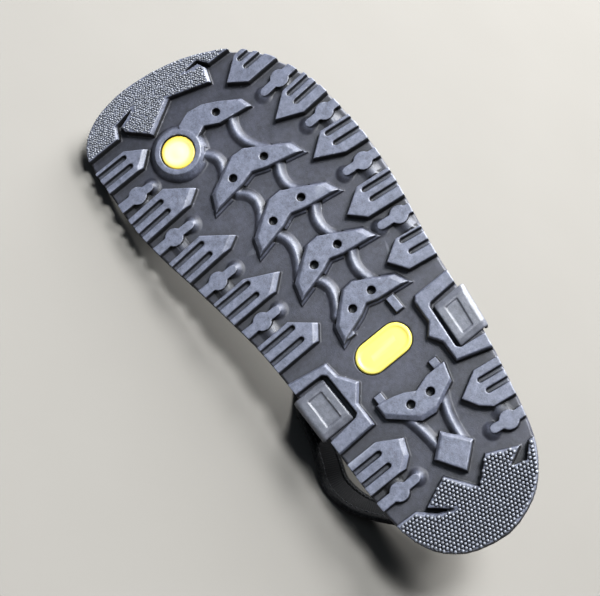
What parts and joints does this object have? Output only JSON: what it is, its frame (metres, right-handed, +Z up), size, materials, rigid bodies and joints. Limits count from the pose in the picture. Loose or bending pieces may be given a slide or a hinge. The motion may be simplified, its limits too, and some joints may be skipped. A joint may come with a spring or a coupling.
{
  "type": "running sandal",
  "caption": "Strap running sandal with a lugged rubber sole, flat footbed, toe strap, arch strap and heel strap with a buckle, lying on its inner side.",
  "frame": {"origin": "middle of the bounding box at the floor that the sandal lies on", "axes": "+X toward the toe, +Z up from the floor, +Y toward the side that the tread faces"},
  "size_m": [0.2882, 0.103, 0.1009],
  "materials": {
    "outsole": "moulded, matt",
    "footbed": "finely ribbed, matt",
    "toe_plug": "moulded, satin",
    "tread_inlay": "moulded, satin",
    "anchor": "moulded, satin",
    "upper": "ribbed webbing",
    "buckle": "moulded, low gloss",
    "pull_tab": "woven tape"
  },
  "bodies": {
    "root": {"outsole": "outsole", "footbed": "footbed", "toe_plug": "toe_plug", "tread_inlay": "tread_inlay", "anchor_medial": "anchor", "anchor_lateral": "anchor", "upper": "upper", "buckle": "buckle", "pull_tab": "pull_tab"}
  },
  "joints": []
}
